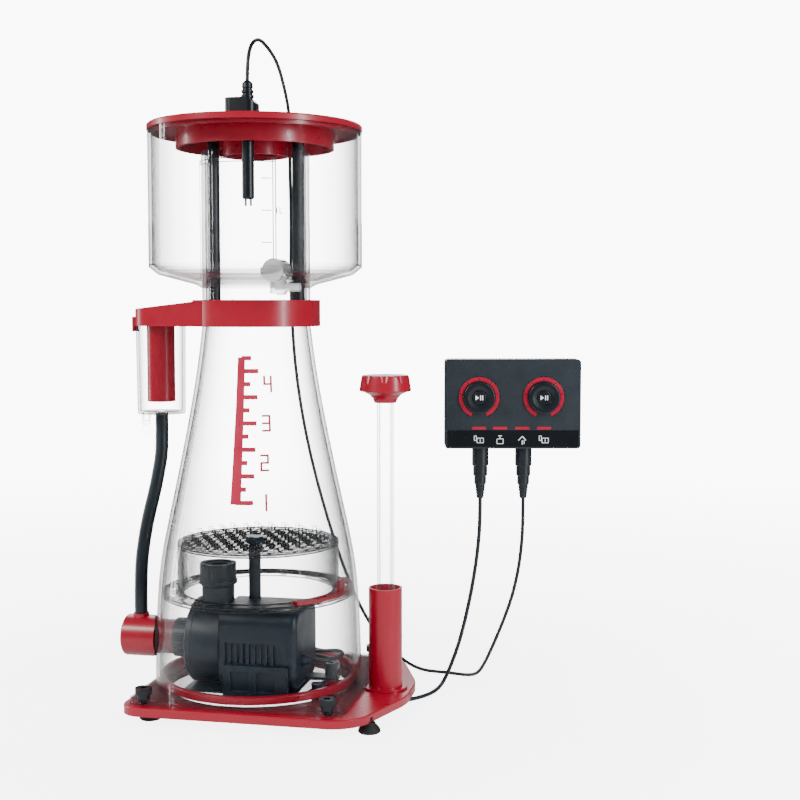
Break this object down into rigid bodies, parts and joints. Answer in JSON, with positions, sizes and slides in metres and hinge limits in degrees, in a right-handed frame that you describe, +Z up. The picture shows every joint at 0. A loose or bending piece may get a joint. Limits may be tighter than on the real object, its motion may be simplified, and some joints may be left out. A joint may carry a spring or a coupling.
{
  "type": "protein skimmer",
  "caption": "Aquarium sump skimmer: clear tapered column on a flat footed base, collecting cup with lid, needle-wheel pump inside, wedge valve, overflow sensor and a corded controller.",
  "frame": {"origin": "the point on the floor under the column's own axis, at the mount standing_point", "axes": "+Z up through the collecting cup, +X along the base's front edge towards the outlet column and its valve, +Y to the back; the object is seen from -Y"},
  "size_m": [0.391, 0.2124, 0.5718],
  "materials": {
    "red_plastic": "glossy moulded, opaque red",
    "clear_acrylic": "polished clear acrylic",
    "ring_acrylic": "clear acrylic, machined edges",
    "pump_slate": "fine satin moulded, dark slate blue",
    "black_plastic": "satin moulded black",
    "controller_grey": "satin charcoal grey",
    "gloss_black": "high gloss black window",
    "red_light_pipe": "translucent red light pipe",
    "board_green": "circuit board with parts",
    "black_rubber": "matt rubber",
    "hose_rubber": "flexible dark grey silicone hose",
    "cord_jacket": "dark flexible cord jacket",
    "rotor_ferrite": "coated ferrite magnet",
    "ceramic_white": "polished ceramic",
    "stator_steel": "laminated steel core"
  },
  "bodies": {
    "frame": {"base_plate": "red_plastic", "feet": "black_rubber", "reaction_cone": "clear_acrylic", "locating_ring": "red_plastic", "neck_collar": "red_plastic", "collar_oring": "black_rubber", "silencer_cup": "clear_acrylic", "silencer_tube": "red_plastic", "silencer_drain": "clear_acrylic", "air_hose": "hose_rubber", "venturi_housing": "red_plastic", "port_gasket": "black_rubber", "pump_union": "pump_slate", "volute_cover": "pump_slate", "volute_chamber": "pump_slate", "outlet_nut": "pump_slate", "motor_housing": "pump_slate", "motor_end_cap": "pump_slate", "stator": "stator_steel", "rotor_bearings": "ceramic_white", "pump_cradle": "pump_slate", "hold_down_bracket": "pump_slate", "cord_glands": "pump_slate", "pump_cord_inner": "cord_jacket", "pump_cord": "cord_jacket", "ring_plate": "ring_acrylic", "bubble_plate": "clear_acrylic", "bubble_post": "pump_slate", "outlet_column": "red_plastic", "controller_case": "controller_grey", "controller_front": "gloss_black", "led_lenses": "red_light_pipe", "circuit_board": "board_green", "pump_plug": "cord_jacket", "sensor_plug": "cord_jacket", "sensor_cord_lower": "cord_jacket"},
    "cup": {"cup_wall": "clear_acrylic", "cup_floor": "clear_acrylic", "cup_neck": "clear_acrylic", "drain_valve_body": "clear_acrylic"},
    "tap": {"drain_tap": "clear_acrylic"},
    "lid": {"lid": "red_plastic", "wiper_rods": "black_plastic", "level_sensor": "black_plastic", "sensor_cord_upper": "cord_jacket"},
    "rotor": {"impeller": "pump_slate", "impeller_shaft": "ceramic_white", "rotor_magnet": "rotor_ferrite"},
    "valve": {"valve_knob": "red_plastic", "valve_tube": "clear_acrylic", "valve_sleeve": "red_plastic"},
    "shutter": {"flow_shutter": "red_plastic"},
    "screw_1": {"thumbscrew_1": "black_plastic"},
    "screw_2": {"thumbscrew_2": "black_plastic"},
    "screw_3": {"thumbscrew_3": "black_plastic"},
    "screw_4": {"thumbscrew_4": "black_plastic"},
    "dial_left": {"dial_left": "black_plastic"},
    "dial_right": {"dial_right": "black_plastic"},
    "button_left": {"button_left": "black_plastic"},
    "button_right": {"button_right": "black_plastic"}
  },
  "joints": [
    {"name": "cup_lift", "type": "slide", "parent": "frame", "child": "cup", "axis": [0, 0, 1], "range_m": [0, 0.06]},
    {"name": "drain_tap_turn", "type": "hinge", "parent": "cup", "child": "tap", "pos_m": [0.0365, -0.062, 0.3769], "axis": [0, 1, 0], "range_deg": [0, 90]},
    {"name": "lid_turn", "type": "hinge", "parent": "cup", "child": "lid", "pos_m": [0, 0, 0.5], "axis": [0, 0, 1], "range_deg": [-40, 40]},
    {"name": "impeller_spin", "type": "hinge", "parent": "frame", "child": "rotor", "pos_m": [-0.02, -0.026, 0.058], "axis": [1, 0, 0], "continuous": true},
    {"name": "valve_turn", "type": "hinge", "parent": "frame", "child": "valve", "pos_m": [0.1147, 0, 0.1], "axis": [0, 0, 1], "range_deg": [-90, 90]},
    {"name": "shutter_turn", "type": "hinge", "parent": "frame", "child": "shutter", "pos_m": [0, 0, 0.1], "axis": [0, 0, 1], "range_deg": [-20, 20]},
    {"name": "thumbscrew_1_turn", "type": "hinge", "parent": "frame", "child": "screw_1", "pos_m": [-0.074, -0.086, 0.02], "axis": [0, 0, 1], "range_deg": [-180, 180]},
    {"name": "thumbscrew_2_turn", "type": "hinge", "parent": "frame", "child": "screw_2", "pos_m": [0.085, -0.086, 0.02], "axis": [0, 0, 1], "range_deg": [-180, 180]},
    {"name": "thumbscrew_3_turn", "type": "hinge", "parent": "frame", "child": "screw_3", "pos_m": [0.085, 0.086, 0.02], "axis": [0, 0, 1], "range_deg": [-180, 180]},
    {"name": "thumbscrew_4_turn", "type": "hinge", "parent": "frame", "child": "screw_4", "pos_m": [-0.074, 0.086, 0.02], "axis": [0, 0, 1], "range_deg": [-180, 180]},
    {"name": "dial_left_turn", "type": "hinge", "parent": "frame", "child": "dial_left", "pos_m": [0.19009, 0.04274, 0.2672], "axis": [0.1994, -0.9799, 0], "continuous": true},
    {"name": "button_left_press", "type": "slide", "parent": "frame", "child": "button_left", "axis": [-0.1994, 0.9799, 0], "range_m": [0, 0.0012], "stiffness_N_per_m": 400, "springref_m": -0.0005},
    {"name": "dial_right_turn", "type": "hinge", "parent": "frame", "child": "dial_right", "pos_m": [0.24595, 0.0541, 0.2672], "axis": [0.1994, -0.9799, 0], "continuous": true},
    {"name": "button_right_press", "type": "slide", "parent": "frame", "child": "button_right", "axis": [-0.1994, 0.9799, 0], "range_m": [0, 0.0012], "stiffness_N_per_m": 400, "springref_m": -0.0005}
  ]
}
